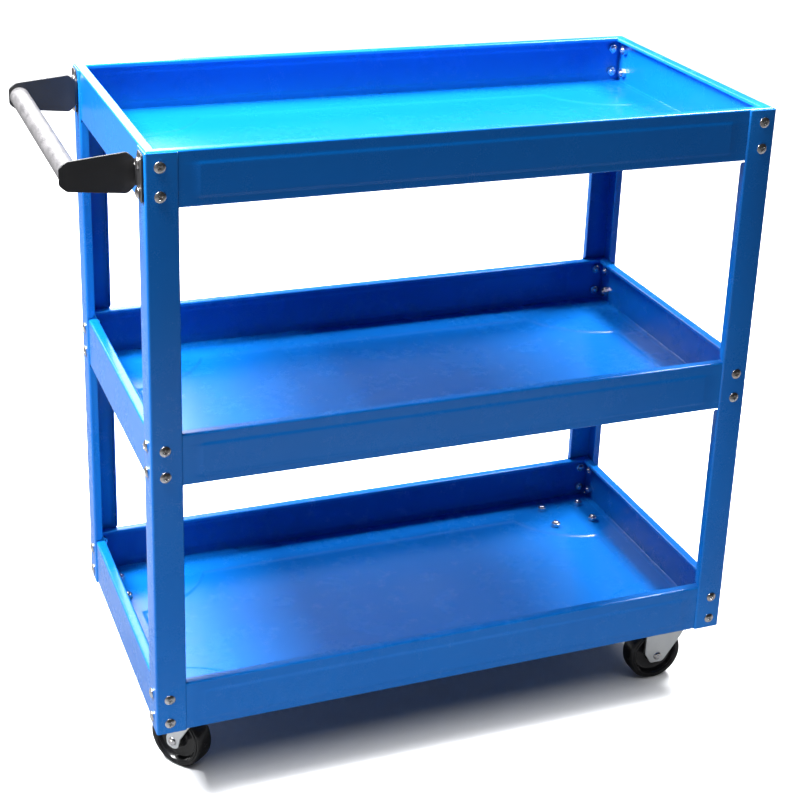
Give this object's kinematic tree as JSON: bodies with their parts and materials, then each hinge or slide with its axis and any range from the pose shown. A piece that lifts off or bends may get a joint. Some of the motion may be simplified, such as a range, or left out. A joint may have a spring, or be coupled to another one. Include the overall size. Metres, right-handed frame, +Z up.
{
  "type": "rolling tool cart",
  "caption": "Open steel tool cart with stacked trays bolted to corner posts, a push handle at one end and swivel and rigid casters.",
  "frame": {"origin": "floor level, at the middle of the box round the whole cart, handle included", "axes": "+X along the cart's length, away from the handle; +Y from the front to the back; +Z up"},
  "size_m": [0.7484, 0.3568, 0.7205],
  "materials": {
    "blue_powder_coat": "gloss",
    "black_powder_coat": "satin",
    "grip_sleeve": "textured",
    "zinc_fasteners": "bright zinc",
    "zinc_casters": "bright zinc",
    "plain_steel": "plain",
    "black_wheels": "gloss"
  },
  "bodies": {
    "frame": {"tray_top_floor": "blue_powder_coat", "tray_top_front": "blue_powder_coat", "tray_top_back": "blue_powder_coat", "tray_top_left": "blue_powder_coat", "tray_top_right": "blue_powder_coat", "tray_mid_floor": "blue_powder_coat", "tray_mid_front": "blue_powder_coat", "tray_mid_back": "blue_powder_coat", "tray_mid_left": "blue_powder_coat", "tray_mid_right": "blue_powder_coat", "tray_low_floor": "blue_powder_coat", "tray_low_front": "blue_powder_coat", "tray_low_back": "blue_powder_coat", "tray_low_left": "blue_powder_coat", "tray_low_right": "blue_powder_coat", "post_fl": "blue_powder_coat", "post_fr": "blue_powder_coat", "post_bl": "blue_powder_coat", "post_br": "blue_powder_coat", "handle_arm_front": "black_powder_coat", "handle_arm_back": "black_powder_coat", "handle_bar": "plain_steel", "handle_grip": "grip_sleeve", "screws_top": "zinc_fasteners", "screws_mid": "zinc_fasteners", "screws_low": "zinc_fasteners", "nuts_top": "zinc_fasteners", "nuts_mid": "zinc_fasteners", "nuts_low": "zinc_fasteners", "caster_bolts": "zinc_fasteners", "caster_nuts": "zinc_fasteners", "swivel_plate_fl": "zinc_casters", "swivel_plate_bl": "zinc_casters", "race_balls_fl": "plain_steel", "race_balls_bl": "plain_steel", "kingpin_fl": "plain_steel", "kingpin_bl": "plain_steel", "rigid_bracket_fr": "zinc_casters", "rigid_bracket_br": "zinc_casters", "axle_fr": "zinc_casters", "axle_br": "zinc_casters", "bush_fr": "plain_steel", "bush_br": "plain_steel"},
    "swivel_fl": {"swivel_fork_fl": "zinc_casters", "axle_fl": "zinc_casters", "bush_fl": "plain_steel"},
    "swivel_bl": {"swivel_fork_bl": "zinc_casters", "axle_bl": "zinc_casters", "bush_bl": "plain_steel"},
    "roller_fl": {"wheel_fl": "black_wheels"},
    "roller_bl": {"wheel_bl": "black_wheels"},
    "roller_fr": {"wheel_fr": "black_wheels"},
    "roller_br": {"wheel_br": "black_wheels"}
  },
  "joints": [
    {"name": "swivel_turn_fl", "type": "hinge", "parent": "frame", "child": "swivel_fl", "pos_m": [-0.2467, -0.1205, 0.0795], "axis": [0, 0, 1], "continuous": true},
    {"name": "swivel_turn_bl", "type": "hinge", "parent": "frame", "child": "swivel_bl", "pos_m": [-0.2467, 0.1205, 0.0795], "axis": [0, 0, 1], "continuous": true},
    {"name": "wheel_spin_fl", "type": "hinge", "parent": "swivel_fl", "child": "roller_fl", "pos_m": [-0.25901, -0.10474, 0.034], "axis": [-0.788, -0.6157, 0], "continuous": true},
    {"name": "wheel_spin_bl", "type": "hinge", "parent": "swivel_bl", "child": "roller_bl", "pos_m": [-0.23731, 0.13816, 0.034], "axis": [-0.8829, 0.4695, 0], "continuous": true},
    {"name": "wheel_spin_fr", "type": "hinge", "parent": "frame", "child": "roller_fr", "pos_m": [0.3163, -0.1205, 0.034], "axis": [0, 1, 0], "continuous": true},
    {"name": "wheel_spin_br", "type": "hinge", "parent": "frame", "child": "roller_br", "pos_m": [0.3163, 0.1205, 0.034], "axis": [0, 1, 0], "continuous": true}
  ]
}
